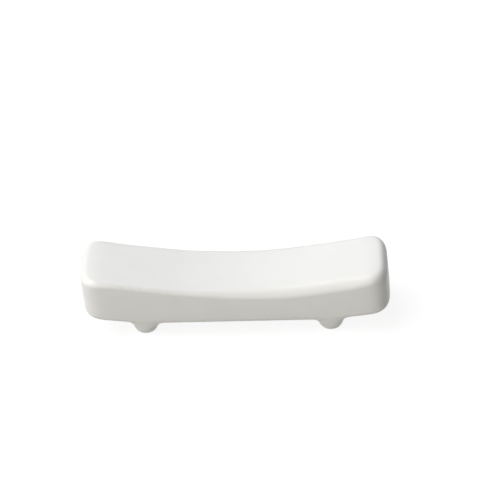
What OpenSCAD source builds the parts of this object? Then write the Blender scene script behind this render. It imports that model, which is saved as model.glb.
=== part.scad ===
// Porcelain chopstick rest: a saddle-topped bar on four nub feet, under one coat of glaze.
// Millimetres, +Z up and +X along the bar. The origin is on the table, under the middle of the bar.

/* [Bar] */
// Length of the glazed bar along its middle
bar_length = 75; // [60:1:95]
// Depth of the glazed bar from front to back
bar_depth = 20.4; // [16:0.1:26]
// Height of the bottom of the saddle above the table
saddle_height = 12.2; // [10.5:0.1:15]
// Slope of the two raised wings, in degrees
wing_slope = 8.5; // [3:0.1:12]
// Half of the length over which the saddle is a round valley
valley_reach = 18.7; // [8:0.1:24]
// Height of the flat belly above the table
belly_height = 3.4; // [2.5:0.1:5]
// Length of the flat part of the belly
belly_flat = 36; // [20:1:44]
// Slope of the underside towards the ends, in degrees
belly_slope = 7.3; // [3:0.1:10]
// Length over which the belly turns up to that slope
belly_turn = 9.5; // [4:0.5:12]
// Radius of the long top edges
top_edge = 2.8; // [0.8:0.1:3.4]
// Radius of the long bottom edges
bottom_edge = 1.2; // [0.8:0.1:2]
// Sideways lean of the bar, in degrees: its top stands a little to the left of its underside
bar_lean = 3.6; // [0:0.1:5]

/* [Ends] */
// Length of each rounded end
end_length = 6.8; // [4:0.1:8]
// Width that is left at the very tip
tip_width = 2.2; // [1.6:0.2:6]
// How far the top drops at the tip
tip_drop = 2.5; // [0.8:0.1:3]
// How far the underside rises at the tip
tip_rise = 1.2; // [0.8:0.1:3]
// Fullness of the ends seen from above: 2 is an ellipse and more is squarer
plan_fullness = 3.4; // [2:0.1:5]
// Fullness of the ends seen from the front
side_fullness = 2.5; // [2:0.1:4]

/* [Feet] */
// Diameter of a glazed foot
foot_diameter = 6; // [5:0.1:8]
// Mean distance from an end of the bar to the middle of a foot
foot_from_end = 14.85; // [12:0.05:20]
// How far the four feet sit to the right of the middle of the bar
feet_shift = 0.5; // [-1:0.1:1]
// How far the glazed feet stand back from the front and rear faces
foot_setback = 0.1; // [0.1:0.05:2]
// Diameter of the flat that stands on the table
contact_diameter = 2.4; // [1.6:0.1:3.4]
// Fullness of the dome of a foot: 2 is an ellipse and more is squarer
foot_fullness = 2.7; // [2:0.1:4]
// Radius of the glaze that pools round the root of a foot
root_fillet = 1.2; // [0.4:0.1:1.6]

/* [Glaze] */
// Thickness of the glaze
glaze = 0.3; // [0.2:0.05:0.5]
// Height of the rim that is wiped bare at the tip of a foot
bare_rim = 0.35; // [0.2:0.05:0.8]

/* [Hidden] */
$fn = 64;
bisque_colour = "#efe9df";
glaze_colour = "#f8f8f6";
half_length = bar_length / 2;
half_depth = bar_depth / 2;
end_start = half_length - end_length;
foot_radius = foot_diameter / 2;
contact_radius = contact_diameter / 2;
foot_x = half_length - foot_from_end;
foot_y = half_depth - foot_setback - foot_radius;
// Steps of the loft: along the middle, along each end and round each long edge
middle_steps = 26;
end_steps = 9;
edge_steps = 6;
// Steps of a foot's dome and of the fillet at its root
dome_steps = 12;
fillet_steps = 5;
// Largest share of a section's half-width or half-height that an edge radius takes
edge_share = 0.9;
// How far a foot reaches up past the underside before it is cut to it
foot_overlap = 1.5;
// How far a flare bites into the side of its foot
flare_bite = 0.15;
// How far the trimmed flares stand back from the front and rear faces
flare_setback = 0.05;

// Rise of a straight slope of 1 with a round valley over the given reach
function ramp(x, reach) = x < reach ? x * x / (2 * reach) : x - reach / 2;

// Share by which a rounded end has closed: 0 where it starts and 1 at its tip
function closing(share, fullness) = 1 - pow(max(0, 1 - pow(share, fullness)), 1 / fullness);

// How far along a rounded end a section lies, with a skin of the given thickness taken off
function end_share(x, skin) = min(1, max(0, (abs(x) - end_start) / (end_length - skin)));

function section_half_depth(x, skin) =
    half_depth - skin - (half_depth - tip_width / 2) * closing(end_share(x, skin), plan_fullness);

function section_top(x, skin) =
    saddle_height - skin + tan(wing_slope) * ramp(abs(x), valley_reach)
    - tip_drop * closing(end_share(x, skin), side_fullness);

function section_bottom(x, skin) =
    belly_height + skin + tan(belly_slope) * ramp(max(0, abs(x) - belly_flat / 2), belly_turn)
    + tip_rise * closing(end_share(x, skin), side_fullness);

// Height at which the lean moves nothing: half way up the tips, so that the bar stays in the middle
lean_height = (section_top(half_length, 0) + section_bottom(half_length, 0)) / 2;

// How far the lean moves the bar to the right at a height
function lean_shift(z) = tan(bar_lean) * (lean_height - z);

// Places of the sections along the bar, closer together towards the tips
function end_stations(skin) = [
    for (step = [1 : end_steps])
        end_start + (end_length - skin) * pow(sin(90 * step / end_steps), 2 / plan_fullness)
];
function middle_stations() = [
    for (step = [0 : middle_steps]) end_start * (2 * step / middle_steps - 1)
];
function stations(skin) = let(tips = end_stations(skin)) concat(
    [for (step = [1 : end_steps]) -tips[end_steps - step]],
    middle_stations(),
    tips
);

// One section: a rectangle with its four edges rounded, as a ring of points
function section(x, skin) = let(
    depth = section_half_depth(x, skin),
    top = section_top(x, skin),
    bottom = section_bottom(x, skin),
    limit = edge_share * min(depth, (top - bottom) / 2),
    top_r = min(top_edge - skin, limit),
    bottom_r = min(bottom_edge - skin, limit),
    corners = [
        [depth - top_r, top - top_r, top_r, 0],
        [top_r - depth, top - top_r, top_r, 90],
        [bottom_r - depth, bottom + bottom_r, bottom_r, 180],
        [depth - bottom_r, bottom + bottom_r, bottom_r, 270]
    ]
) [
    for (corner = corners, step = [0 : edge_steps])
        let(
            angle = corner[3] + 90 * step / edge_steps,
            z = corner[1] + corner[2] * sin(angle)
        )
            [x + lean_shift(z), corner[0] + corner[2] * cos(angle), z]
];

// The whole bar as one smooth loft, with a skin of the given thickness taken off all round
module bar(skin) {
    places = stations(skin);
    ring = 4 * (edge_steps + 1);
    last = len(places) - 1;
    points = [for (x = places) each section(x, skin)];
    sides = [
        for (row = [0 : last - 1], step = [0 : ring - 1])
            let(
                a = row * ring + step,
                b = row * ring + (step + 1) % ring
            )
                each [[a, b + ring, b], [a, a + ring, b + ring]]
    ];
    near_cap = [for (step = [0 : ring - 1]) step];
    far_cap = [for (step = [0 : ring - 1]) (last + 1) * ring - 1 - step];
    polyhedron(points, concat(sides, [near_cap, far_cap]));
}

// Height at which the side of a dome ends, level with the underside
function foot_height() = section_bottom(foot_x, 0);

// Place of a foot: side is -1 left or 1 right
function foot_place(side) = side * foot_x + feet_shift;

// The same place, measured along the leaning bar
function place_on_bar(side) = foot_place(side) - lean_shift(belly_height);

// Slope of the underside at the middle of a foot, in degrees
function foot_slope(side) = let(
    past_flat = max(0, abs(place_on_bar(side)) - belly_flat / 2)
) atan(tan(belly_slope) * min(1, past_flat / belly_turn));

// Radius of a dome that stands on a flat of the given radius and is full at the underside
function dome_radius(z, radius, flat) = let(
    reach = foot_height() / pow(1 - pow(flat / radius, foot_fullness), 1 / foot_fullness)
) radius * pow(1 - pow((foot_height() - z) / reach, foot_fullness), 1 / foot_fullness);

// Side of a dome from the given height up to the underside, with its points closer near the table
function dome_side(radius, flat, from) = [
    for (step = [0 : dome_steps])
        let(z = from + (foot_height() - from) * (1 - cos(90 * step / dome_steps)))
            [dome_radius(z, radius, flat), z]
];

// A foot from the given height up to inside the bar
module foot_dome(radius, flat, from) {
    top = foot_height() + foot_overlap;
    rotate_extrude()
        polygon(concat(
            [[0, from]],
            dome_side(radius, flat, from),
            [[radius, top], [0, top]]
        ));
}

// The clay of a foot, longer than it needs to be at the top
module foot_core() {
    foot_dome(foot_radius - glaze, contact_radius, 0);
}

// A foot with its glaze, which starts above the bare rim
module glazed_foot() {
    foot_dome(foot_radius, contact_radius + glaze, bare_rim);
}

// The glaze that pools round the root of a foot and flares out along the slope of the underside
module root_flare(side) {
    neck = foot_radius - flare_bite;
    flare = [
        for (step = [0 : fillet_steps])
            let(angle = 90 * step / fillet_steps)
                [neck + root_fillet * (1 - cos(angle)), root_fillet * (sin(angle) - 1)]
    ];
    translate([0, 0, section_bottom(place_on_bar(side), 0)])
        rotate([0, -side * foot_slope(side), 0])
            rotate_extrude()
                polygon(concat(
                    [[0, -root_fillet]],
                    flare,
                    [[neck + root_fillet, foot_overlap], [0, foot_overlap]]
                ));
}

// Puts its children under one corner of the bar: side is -1 left or 1 right, face is -1 front or 1 rear
module at_foot(side, face) {
    translate([foot_place(side), face * foot_y, 0]) children();
}

module at_all_feet() {
    for (side = [-1, 1], face = [-1, 1]) at_foot(side, face) children();
}

module all_flares() {
    for (side = [-1, 1], face = [-1, 1]) at_foot(side, face) root_flare(side);
}

// Everything that the glaze covers, filled solid, with the flares trimmed to the front and rear faces
module glazed_outside() {
    bar(0);
    at_all_feet() glazed_foot();
    intersection() {
        all_flares();
        translate([-half_length, flare_setback - half_depth, 0])
            cube([bar_length, bar_depth - 2 * flare_setback, saddle_height]);
    }
}

module body() {
    color(bisque_colour) bar(glaze);
}

module foot(side, face) {
    color(bisque_colour)
        difference() {
            at_foot(side, face) foot_core();
            bar(glaze);
        }
}

module front_left_foot() {
    foot(-1, -1);
}

module front_right_foot() {
    foot(1, -1);
}

module rear_left_foot() {
    foot(-1, 1);
}

module rear_right_foot() {
    foot(1, 1);
}

module glaze_coat() {
    color(glaze_colour)
        difference() {
            glazed_outside();
            bar(glaze);
            at_all_feet() foot_core();
        }
}

body();
front_left_foot();
front_right_foot();
rear_left_foot();
rear_right_foot();
glaze_coat();
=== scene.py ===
"""A white porcelain chopstick rest in its glaze, on a white studio floor."""
import math

import bmesh
import bpy
import numpy as np
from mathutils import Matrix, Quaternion, Vector


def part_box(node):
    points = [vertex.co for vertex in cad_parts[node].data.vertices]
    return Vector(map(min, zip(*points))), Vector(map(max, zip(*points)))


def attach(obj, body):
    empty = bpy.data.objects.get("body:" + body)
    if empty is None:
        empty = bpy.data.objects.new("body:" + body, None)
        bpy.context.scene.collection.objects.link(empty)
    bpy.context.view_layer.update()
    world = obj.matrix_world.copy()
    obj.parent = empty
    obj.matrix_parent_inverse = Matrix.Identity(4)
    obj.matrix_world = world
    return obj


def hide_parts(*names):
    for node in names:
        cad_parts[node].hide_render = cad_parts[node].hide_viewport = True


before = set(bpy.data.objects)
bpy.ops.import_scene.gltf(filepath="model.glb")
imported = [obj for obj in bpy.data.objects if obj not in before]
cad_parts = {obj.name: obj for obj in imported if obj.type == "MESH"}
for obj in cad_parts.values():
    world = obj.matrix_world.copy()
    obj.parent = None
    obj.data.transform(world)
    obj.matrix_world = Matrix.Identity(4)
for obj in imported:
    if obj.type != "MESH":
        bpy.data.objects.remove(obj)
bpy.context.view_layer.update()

MM = 0.001

# Clay and glaze, as the frame gives them
FEET = ["front_left_foot", "front_right_foot", "rear_left_foot", "rear_right_foot"]
CLAY = ["body"] + FEET
coat_low, coat_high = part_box("glaze_coat")
HALF_DEPTH = coat_high.y
BARE_RIM = coat_low.z
GLAZE = coat_high.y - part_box("body")[1].y

# Top and underside of the bar, which leans and tilts a little
HALF_LENGTH = 37.5 * MM
LEAN = math.tan(math.radians(3.6))
LEAN_HEIGHT = 10.2 * MM
SADDLE_HEIGHT = 12.2 * MM
WING_SLOPE = math.tan(math.radians(8.5))
VALLEY_REACH = 18.7 * MM
TOP_TILT = 0.005
BELLY_HEIGHT = 3.4 * MM
BELLY_FLAT = 36 * MM
BELLY_SLOPE = math.tan(math.radians(7.3))
BELLY_TURN = 9.5 * MM

# Long faces of the bar and the radii of their edges
FACE_BULGE = 0.15 * MM
FRONT_LEFT_EDGE = 0.8 * MM
FRONT_RIGHT_EDGE = 2.8 * MM
REAR_TOP_EDGE = 3.1 * MM
BOTTOM_EDGE = 1.2 * MM

# Rounded ends of the bar
END_LENGTH = 6.8 * MM
END_START = HALF_LENGTH - END_LENGTH
TIP_HALF_WIDTH = 1.1 * MM
PLAN_FULLNESS = 3.4
TOP_FALL = 0.75 * MM
UNDERSIDE_RISE = 0.3 * MM
END_FALL_POWER = 2.8
TIP_TOP_EDGE = 1.9 * MM
TIP_BOTTOM_EDGE = 1 * MM
TIP_EDGE_REACH = 10 * MM

# Domed feet
FOOT_CENTRES = [sum(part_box(name), Vector()) / 2 for name in FEET]
FOOT_RADIUS = 3.17 * MM
FOOT_HEIGHT = 3.55 * MM
FOOT_TIP_RADIUS = 1.5 * MM
FOOT_FULLNESS = 2.7
ROOT_BLEND = 2.55 * MM

# Mesh of the glaze
VOXEL = 0.34 * MM
WELD = 0.001 * MM
RELAX_ROUNDS = 10
SETTLE_ROUNDS = 3
SLOPE_PROBE = 0.001 * MM
BEND_PROBE = 0.1 * MM
TINY = 1e-6

# Camera, from the photograph's 500 pixel frame
FRAME_SIZE = 500
PIXELS_PER_METRE = 4062
CAMERA_DISTANCE = 700 * MM
CAMERA_ELEVATION = math.radians(35)
CAMERA_TURN = math.radians(2.8)
CAMERA_ROLL = math.radians(-2.85)
CAMERA_NEAR = 0.01
CAMERA_FAR = 20
PIVOT = Vector((0, 0, 6.3 * MM))
PIVOT_PIXEL = (236.3, 289.4)
SENSOR = 36

# Ranges of a noise that are stretched, from a sharp change to a gentle one, and the full range
SHARP = (0.4, 0.6)
MEDIUM = (0.35, 0.65)
GENTLE = (0.3, 0.7)
FULL = (0, 1)

# Places of the colours among the sockets of a mix
MIX_UNDER = 6
MIX_OVER = 7
MIX_RESULT = 2

# Glaze: tone, sheen and relief
GLAZE_WHITE = (0.875, 0.873, 0.858)
GLAZE_CLOUD = (0.893, 0.893, 0.880)
GLAZE_THIN = (0.872, 0.867, 0.848)
GLAZE_POOLED = (0.842, 0.852, 0.838)
GLAZE_INDEX = 1.5
GLAZE_ROUGHNESS = (0.28, 0.36)
CLOUD_GRAIN = 11 * MM
SHEEN_GRAIN = 2.5 * MM
WAVE_GRAIN = 7 * MM
WAVE_DEPTH = 0.02 * MM
PEEL_GRAIN = 0.9 * MM
PEEL_DEPTH = 0.0015 * MM
THIN_BEND = 1 / (3 * MM)
POOLED_BEND = 1 / (2.5 * MM)

# Rare iron specks in the glaze
SPECK_SPACING = 2.6 * MM
SPECK_SIZE = 0.16 * MM
SPECK_RARITY = 0.7
SPECK_SHARE = 0.35
SPECK_COLOUR = (0.42, 0.38, 0.33)

# Bare bisque at the foot tips
BISQUE_PALE = (0.80, 0.765, 0.71)
BISQUE_WARM = (0.74, 0.69, 0.625)
BISQUE_RUBBED = (0.52, 0.50, 0.47)
BISQUE_ROUGHNESS = (0.72, 0.92)
MOTTLE_GRAIN = 0.8 * MM
GRIT_GRAIN = 0.18 * MM
GRIT_DEPTH = 0.02 * MM
RUBBED_HEIGHT = 0.2 * MM
RUBBED_SHARE = 0.6
RUBBED_PATCHES = (0.3, 1)

# Studio floor and surroundings
FLOOR_REACH = 4
FLOOR_GLOW = 0.88
FLOOR_SHADE = (0.2, 0.2, 0.2)
FLOOR_BOUNCE = (0.41, 0.4, 0.38)
BACKDROP = 1
AMBIENT = 0.02

# Studio lamps
LAMP_DISTANCE = 1.8
SOFTBOX = 1.5
SMALL_SOFTBOX = 0.7
NEUTRAL = (1, 1, 1)
WARM = (1, 0.97, 0.915)
COOL = (0.98, 0.99, 1)


def mixed(first, second, share):
    """A value that goes from the first to the second as the share goes from 0 to 1"""
    return first + (second - first) * share


def smooth_share(x, start, length):
    """0 before the start, 1 past the length, and a smooth rise between"""
    share = np.clip((x - start) / length, 0, 1)
    return share * share * (3 - 2 * share)


def ramp(x, reach):
    """Rise of a straight slope of 1 with a round valley over the given reach"""
    return np.where(x < reach, x * x / (2 * reach), x - reach / 2)


def superellipse(a, b, reach_a, reach_b, fullness):
    """Distance from a superelliptic corner, which is true close to its surface"""
    u = a / reach_a
    v = b / reach_b
    size = np.maximum((u ** fullness + v ** fullness) ** (1 / fullness), TINY)
    power = fullness - 1
    slope = np.hypot(u ** power / reach_a, v ** power / reach_b) / size ** power
    return (size - 1) / np.maximum(slope, 1 / (reach_a + reach_b))


def rounded_edge(a, b, radius):
    """Distance from the solid inside two surfaces that meet in a rounded edge"""
    outside = np.hypot(np.maximum(a + radius, 0), np.maximum(b + radius, 0))
    return outside + np.minimum(np.maximum(a, b) + radius, 0) - radius


def blended(a, b, reach):
    """Distance from two solids joined by a soft fillet"""
    near = np.maximum(reach - np.abs(a - b), 0) / reach
    return np.minimum(a, b) - near * near * reach / 4


def end_fall(x):
    """Share by which the top and the underside have closed in: 0 where an end starts and 1 at its tip"""
    return np.clip((x - END_START) / END_LENGTH, 0, 1) ** END_FALL_POWER


def bar_top(along):
    """Height of the top: a saddle between two raised wings, tilted a little down to the right"""
    x = np.abs(along)
    wings = WING_SLOPE * ramp(x, VALLEY_REACH)
    return SADDLE_HEIGHT + wings - TOP_TILT * along - TOP_FALL * end_fall(x)


def bar_bottom(along):
    """Height of the underside: a flat belly that turns up towards the ends"""
    x = np.abs(along)
    turn = ramp(np.maximum(x - BELLY_FLAT / 2, 0), BELLY_TURN)
    return BELLY_HEIGHT + BELLY_SLOPE * turn + UNDERSIDE_RISE * end_fall(x)


def top_edge_radius(along, y):
    """Radius of the long top edges: the front one grows to the right, and the rear one is even"""
    rightward = smooth_share(along, -HALF_LENGTH / 2, HALF_LENGTH)
    front_edge = mixed(FRONT_LEFT_EDGE, FRONT_RIGHT_EDGE, rightward)
    return mixed(front_edge, REAR_TOP_EDGE, smooth_share(y, -HALF_DEPTH / 2, HALF_DEPTH))


def plan_distance(x, y):
    """Distance from the bar's outline as seen from above"""
    along = np.maximum(x - END_START, 0)
    across = np.maximum(np.abs(y) - TIP_HALF_WIDTH, 0)
    return superellipse(along, across, END_LENGTH, HALF_DEPTH - TIP_HALF_WIDTH, PLAN_FULLNESS)


def foot_distance(points, centre):
    """Distance from the dome of one foot, which goes on up into the bar"""
    out = np.hypot(points[:, 0] - centre.x, points[:, 1] - centre.y)
    down = np.maximum(FOOT_HEIGHT - points[:, 2], 0)
    flat = (FOOT_TIP_RADIUS / FOOT_RADIUS) ** FOOT_FULLNESS
    reach = FOOT_HEIGHT / (1 - flat) ** (1 / FOOT_FULLNESS)
    return superellipse(out, down, FOOT_RADIUS, reach, FOOT_FULLNESS)


def glaze_distance(points):
    """Distance from the outside of the glaze, with the feet flush with the front and rear faces"""
    y = points[:, 1]
    z = points[:, 2]
    along = points[:, 0] + LEAN * (z - LEAN_HEIGHT)
    x = np.abs(along)
    top = bar_top(along)
    bottom = bar_bottom(along)
    tip = smooth_share(x, HALF_LENGTH - TIP_EDGE_REACH, TIP_EDGE_REACH)
    middle = (top + bottom) / 2
    rise = np.clip((z - middle) / (top - middle), -1, 1)
    face = plan_distance(x, y) - FACE_BULGE * (1 - tip) * (1 - rise * rise)
    underside = bottom - z
    for centre in FOOT_CENTRES:
        underside = blended(underside, foot_distance(points, centre), ROOT_BLEND)
    top_edge = mixed(top_edge_radius(along, y), TIP_TOP_EDGE, tip)
    bottom_edge = mixed(BOTTOM_EDGE, TIP_BOTTOM_EDGE, tip)
    return np.maximum(rounded_edge(face, z - top, top_edge), rounded_edge(face, underside, bottom_edge))


def glaze_slope(points):
    """Slope of the glaze's distance along X, Y and Z"""
    steps = np.eye(3) * SLOPE_PROBE
    rises = [glaze_distance(points + step) - glaze_distance(points - step) for step in steps]
    return np.stack(rises, axis=1) / (2 * SLOPE_PROBE)


def glaze_bend(points):
    """How sharply the surface of the glaze bends: more than 0 on edges, less in hollows"""
    here = glaze_distance(points)
    total = np.zeros_like(here)
    for step in np.eye(3) * BEND_PROBE:
        total += glaze_distance(points + step) + glaze_distance(points - step) - 2 * here
    return total / BEND_PROBE ** 2


def settled(points, rounds):
    """The points moved onto the surface of the glaze"""
    for _ in range(rounds):
        slope = glaze_slope(points)
        steepness = np.maximum(np.sum(slope * slope, axis=1), TINY)
        points = points - slope * (glaze_distance(points) / steepness)[:, None]
    return points


def neighbour_mean(points, edges):
    """The mean place of each point's neighbours"""
    total = np.zeros_like(points)
    np.add.at(total, edges[:, 0], points[edges[:, 1]])
    np.add.at(total, edges[:, 1], points[edges[:, 0]])
    count = np.bincount(edges.ravel(), minlength=len(points))
    return total / count[:, None]


def mesh_points(mesh):
    points = np.zeros(len(mesh.vertices) * 3)
    mesh.vertices.foreach_get("co", points)
    return points.reshape(-1, 3)


def mesh_edges(mesh):
    edges = np.zeros(len(mesh.edges) * 2, int)
    mesh.edges.foreach_get("vertices", edges)
    return edges.reshape(-1, 2)


def added(name, data):
    """A new object in the scene"""
    thing = bpy.data.objects.new(name, data)
    bpy.context.scene.collection.objects.link(thing)
    return thing


def clay_mesh():
    """One even mesh over the clay of the bar and its feet together"""
    joined = bmesh.new()
    for name in CLAY:
        joined.from_mesh(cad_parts[name].data)
    bmesh.ops.remove_doubles(joined, verts=joined.verts, dist=WELD)
    mesh = bpy.data.meshes.new("clay")
    joined.to_mesh(mesh)
    joined.free()
    clay = added("clay", mesh)
    remesh = clay.modifiers.new("even", "REMESH")
    remesh.mode = "VOXEL"
    remesh.voxel_size = VOXEL
    graph = bpy.context.evaluated_depsgraph_get()
    even = bpy.data.meshes.new_from_object(clay.evaluated_get(graph))
    bpy.data.objects.remove(clay)
    bpy.data.meshes.remove(mesh)
    return even


def wipe_tips(mesh):
    """Takes the glaze off the bare rims at the foot tips"""
    wiped = bmesh.new()
    wiped.from_mesh(mesh)
    parts = wiped.verts[:] + wiped.edges[:] + wiped.faces[:]
    rim = Vector((0, 0, BARE_RIM))
    bmesh.ops.bisect_plane(wiped, geom=parts, plane_co=rim, plane_no=(0, 0, 1), clear_inner=True)
    wiped.to_mesh(mesh)
    wiped.free()


def keep_share(mesh, name, values):
    """Keeps a share from 0 to 1 at each point of the mesh"""
    stored = mesh.attributes.new(name, "FLOAT", "POINT")
    stored.data.foreach_set("value", np.clip(values, 0, 1))


def glaze_skin():
    """The coat of glaze: the clay's mesh moved out to its surface and wiped off at the foot tips"""
    mesh = clay_mesh()
    mesh.name = "glaze_skin"
    edges = mesh_edges(mesh)
    points = settled(mesh_points(mesh), SETTLE_ROUNDS)
    for _ in range(RELAX_ROUNDS):
        points = settled((points + neighbour_mean(points, edges)) / 2, 1)
    points = settled(points, SETTLE_ROUNDS)
    mesh.vertices.foreach_set("co", points.ravel())
    wipe_tips(mesh)
    mesh.shade_smooth()
    mesh.materials.clear()
    bend = glaze_bend(mesh_points(mesh))
    keep_share(mesh, "thin", bend / THIN_BEND)
    keep_share(mesh, "pooled", -bend / POOLED_BEND)
    skin = added("glaze_skin", mesh)
    thickness = skin.modifiers.new("thickness", "SOLIDIFY")
    thickness.thickness = GLAZE
    thickness.offset = -1
    return skin


def new_material(name):
    material = bpy.data.materials.new(name)
    material.use_nodes = True
    nodes = material.node_tree.nodes
    return material, nodes, material.node_tree.links, nodes["Principled BSDF"]


def noise(nodes, links, grain, detail):
    """Noise with a grain of the given length"""
    place = nodes.new("ShaderNodeTexCoord")
    texture = nodes.new("ShaderNodeTexNoise")
    texture.inputs["Scale"].default_value = 1 / grain
    texture.inputs["Detail"].default_value = detail
    links.new(place.outputs["Object"], texture.inputs["Vector"])
    return texture.outputs["Fac"]


def mapped(nodes, links, value, source, target):
    """The value stretched from one range to another, and held inside it"""
    stretch = nodes.new("ShaderNodeMapRange")
    stretch.interpolation_type = "SMOOTHSTEP"
    stretch.inputs["From Min"].default_value = source[0]
    stretch.inputs["From Max"].default_value = source[1]
    stretch.inputs["To Min"].default_value = target[0]
    stretch.inputs["To Max"].default_value = target[1]
    links.new(value, stretch.inputs["Value"])
    return stretch.outputs["Result"]


def combined(nodes, links, operation, first, second):
    """Two values put together by the given operation"""
    both = nodes.new("ShaderNodeMath")
    both.operation = operation
    links.new(first, both.inputs[0])
    links.new(second, both.inputs[1])
    return both.outputs[0]


def tinted(nodes, links, under, share, colour):
    """A colour, or the output of another tint, with a share of a second colour over it"""
    mix = nodes.new("ShaderNodeMix")
    mix.data_type = "RGBA"
    links.new(share, mix.inputs["Factor"])
    if isinstance(under, tuple):
        mix.inputs[MIX_UNDER].default_value = (*under, 1)
    else:
        links.new(under, mix.inputs[MIX_UNDER])
    mix.inputs[MIX_OVER].default_value = (*colour, 1)
    return mix.outputs[MIX_RESULT]


def bumped(nodes, links, height, depth, below=None):
    """A relief of the given depth, over another one if there is one"""
    bump = nodes.new("ShaderNodeBump")
    bump.inputs["Distance"].default_value = depth
    links.new(height, bump.inputs["Height"])
    if below:
        links.new(below, bump.inputs["Normal"])
    return bump.outputs["Normal"]


def specks(nodes, links):
    """Rare pinheads of iron that show through the glaze"""
    place = nodes.new("ShaderNodeTexCoord")
    cells = nodes.new("ShaderNodeTexVoronoi")
    cells.inputs["Scale"].default_value = 1 / SPECK_SPACING
    links.new(place.outputs["Object"], cells.inputs["Vector"])
    pinhead = SPECK_SIZE / SPECK_SPACING
    near = mapped(nodes, links, cells.outputs["Distance"], (pinhead / 2, pinhead), (1, 0))
    rare = mapped(nodes, links, cells.outputs["Color"], (SPECK_RARITY, 1), (0, SPECK_SHARE))
    return combined(nodes, links, "MULTIPLY", near, rare)


def surface_share(nodes, name):
    """A share that the glaze's mesh keeps at each of its points"""
    stored = nodes.new("ShaderNodeAttribute")
    stored.attribute_name = name
    return stored.outputs["Fac"]


def glaze_material():
    """Clear soft-gloss glaze over white porcelain: thin on edges, pooled in the roots of the feet"""
    material, nodes, links, shader = new_material("white_glaze")
    cloud = mapped(nodes, links, noise(nodes, links, CLOUD_GRAIN, detail=3), MEDIUM, FULL)
    colour = tinted(nodes, links, GLAZE_WHITE, cloud, GLAZE_CLOUD)
    colour = tinted(nodes, links, colour, surface_share(nodes, "thin"), GLAZE_THIN)
    colour = tinted(nodes, links, colour, surface_share(nodes, "pooled"), GLAZE_POOLED)
    colour = tinted(nodes, links, colour, specks(nodes, links), SPECK_COLOUR)
    links.new(colour, shader.inputs["Base Color"])
    sheen = mapped(nodes, links, noise(nodes, links, SHEEN_GRAIN, detail=4), GENTLE, GLAZE_ROUGHNESS)
    links.new(sheen, shader.inputs["Roughness"])
    shader.inputs["IOR"].default_value = GLAZE_INDEX
    wave = bumped(nodes, links, noise(nodes, links, WAVE_GRAIN, detail=1), WAVE_DEPTH)
    peel = bumped(nodes, links, noise(nodes, links, PEEL_GRAIN, detail=2), PEEL_DEPTH, wave)
    links.new(peel, shader.inputs["Normal"])
    return material


def bisque_material():
    """Bare fired porcelain, with a grey bloom where it rubs on the table"""
    material, nodes, links, shader = new_material("bare_bisque")
    mottle = mapped(nodes, links, noise(nodes, links, MOTTLE_GRAIN, detail=5), MEDIUM, FULL)
    colour = tinted(nodes, links, BISQUE_PALE, mottle, BISQUE_WARM)
    place = nodes.new("ShaderNodeTexCoord")
    height = nodes.new("ShaderNodeSeparateXYZ")
    links.new(place.outputs["Object"], height.inputs[0])
    low = mapped(nodes, links, height.outputs["Z"], (0, RUBBED_HEIGHT), (RUBBED_SHARE, 0))
    patchy = mapped(nodes, links, noise(nodes, links, GRIT_GRAIN, detail=3), SHARP, RUBBED_PATCHES)
    rubbed = combined(nodes, links, "MULTIPLY", low, patchy)
    colour = tinted(nodes, links, colour, rubbed, BISQUE_RUBBED)
    links.new(colour, shader.inputs["Base Color"])
    rough = mapped(nodes, links, noise(nodes, links, GRIT_GRAIN, detail=4), GENTLE, BISQUE_ROUGHNESS)
    links.new(rough, shader.inputs["Roughness"])
    grit = bumped(nodes, links, noise(nodes, links, GRIT_GRAIN, detail=6), GRIT_DEPTH)
    links.new(grit, shader.inputs["Normal"])
    return material


def seen_directly(nodes, links):
    """1 for rays from the camera, and for those that a glossy or clear surface sends on"""
    path = nodes.new("ShaderNodeLightPath")
    seen = path.outputs["Is Camera Ray"]
    for kind in ("Is Glossy Ray", "Is Transmission Ray"):
        seen = combined(nodes, links, "MAXIMUM", seen, path.outputs[kind])
    return seen


def shown_or_lit(nodes, links, shown, lit, output_kind):
    """Gives the output one shader where it is seen directly, and another for the light that it sends"""
    choice = nodes.new("ShaderNodeMixShader")
    links.new(seen_directly(nodes, links), choice.inputs["Fac"])
    links.new(lit.outputs[0], choice.inputs[1])
    links.new(shown.outputs[0], choice.inputs[2])
    output = nodes.new(output_kind)
    links.new(choice.outputs[0], output.inputs["Surface"])


def diffuse(nodes, colour):
    surface = nodes.new("ShaderNodeBsdfDiffuse")
    surface.inputs["Color"].default_value = (*colour, 1)
    return surface


def floor_material():
    """A white floor that keeps a faint shadow and sends a little light back up"""
    material = bpy.data.materials.new("studio_floor")
    material.use_nodes = True
    nodes = material.node_tree.nodes
    links = material.node_tree.links
    nodes.clear()
    glow = nodes.new("ShaderNodeEmission")
    glow.inputs["Strength"].default_value = FLOOR_GLOW
    shown = nodes.new("ShaderNodeAddShader")
    links.new(glow.outputs[0], shown.inputs[0])
    links.new(diffuse(nodes, FLOOR_SHADE).outputs[0], shown.inputs[1])
    shown_or_lit(nodes, links, shown, diffuse(nodes, FLOOR_BOUNCE), "ShaderNodeOutputMaterial")
    return material


def studio_floor():
    mesh = bpy.data.meshes.new("studio_floor")
    corners = [
        (-FLOOR_REACH, -FLOOR_REACH, 0),
        (FLOOR_REACH, -FLOOR_REACH, 0),
        (FLOOR_REACH, FLOOR_REACH, 0),
        (-FLOOR_REACH, FLOOR_REACH, 0),
    ]
    mesh.from_pydata(corners, [], [(0, 1, 2, 3)])
    mesh.materials.append(floor_material())
    floor = added("studio_floor", mesh)


def background(nodes, strength):
    light = nodes.new("ShaderNodeBackground")
    light.inputs["Strength"].default_value = strength
    return light


def studio_world():
    """White surroundings that send hardly any light"""
    world = bpy.data.worlds.new("studio")
    bpy.context.scene.world = world
    world.use_nodes = True
    nodes = world.node_tree.nodes
    nodes.clear()
    shown = background(nodes, BACKDROP)
    lit = background(nodes, AMBIENT)
    shown_or_lit(nodes, world.node_tree.links, shown, lit, "ShaderNodeOutputWorld")


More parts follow.
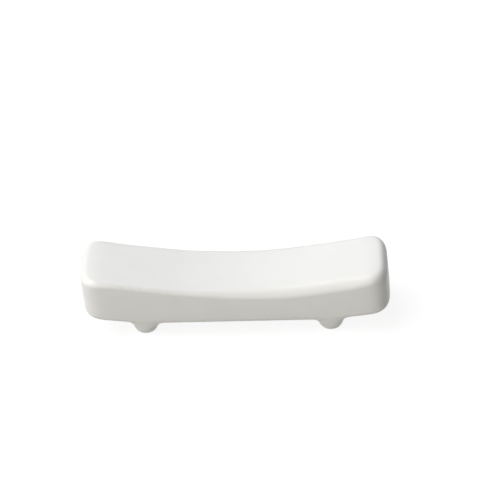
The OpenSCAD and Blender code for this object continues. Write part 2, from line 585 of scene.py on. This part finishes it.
def direction(azimuth, elevation):
    """Direction away from the object, with the azimuth measured to the right from straight in front"""
    level = math.cos(elevation)
    return Vector((math.sin(azimuth) * level, -math.cos(azimuth) * level, math.sin(elevation)))


def soft_light(name, azimuth, elevation, size, power, colour):
    """A square lamp that faces the object, placed by two angles in degrees"""
    out = direction(math.radians(azimuth), math.radians(elevation))
    lamp = bpy.data.lights.new(name, "AREA")
    lamp.shape = "SQUARE"
    lamp.size = size
    lamp.energy = power
    lamp.color = colour
    light = added(name, lamp)
    light.location = PIVOT + out * LAMP_DISTANCE
    light.rotation_euler = (-out).to_track_quat("-Z", "Y").to_euler()


def camera():
    """The photograph's camera, aimed so that the pivot lands on its pixel"""
    back = direction(CAMERA_TURN, CAMERA_ELEVATION)
    view = (-back).to_track_quat("-Z", "Y") @ Quaternion((0, 0, 1), CAMERA_ROLL)
    middle = FRAME_SIZE / 2
    right = (middle - PIVOT_PIXEL[0]) / PIXELS_PER_METRE
    up = (PIVOT_PIXEL[1] - middle) / PIXELS_PER_METRE
    aside = Vector((0, 0, -1)).rotation_difference(Vector((right, up, -CAMERA_DISTANCE)))
    data = bpy.data.cameras.new("camera")
    data.sensor_width = SENSOR
    data.lens = SENSOR * PIXELS_PER_METRE * CAMERA_DISTANCE / FRAME_SIZE
    data.clip_start = CAMERA_NEAR
    data.clip_end = CAMERA_FAR
    eye = added("camera", data)
    eye.location = PIVOT + back * CAMERA_DISTANCE
    eye.rotation_euler = (view @ aside).to_euler()
    bpy.context.scene.camera = eye


camera()
skin = glaze_skin()
skin.data.materials.append(glaze_material())
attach(skin, "root")
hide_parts("glaze_coat")

bisque = bisque_material()
for name in CLAY:
    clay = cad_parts[name]
    clay.data.materials.clear()
    clay.data.materials.append(bisque)

studio_floor()
studio_world()
soft_light("key", azimuth=-72, elevation=40, size=SOFTBOX, power=9.2, colour=NEUTRAL)
soft_light("high_left", azimuth=-100, elevation=60, size=SOFTBOX, power=19.3, colour=COOL)
soft_light("rear_left", azimuth=-120, elevation=45, size=SOFTBOX, power=5, colour=NEUTRAL)
soft_light("rear", azimuth=180, elevation=35, size=SOFTBOX, power=5.4, colour=COOL)
soft_light("front", azimuth=-25, elevation=30, size=SOFTBOX, power=11, colour=WARM)
soft_light("front_low", azimuth=0, elevation=12, size=SMALL_SOFTBOX, power=3.3, colour=WARM)
bpy.context.scene.view_settings.view_transform = "Standard"
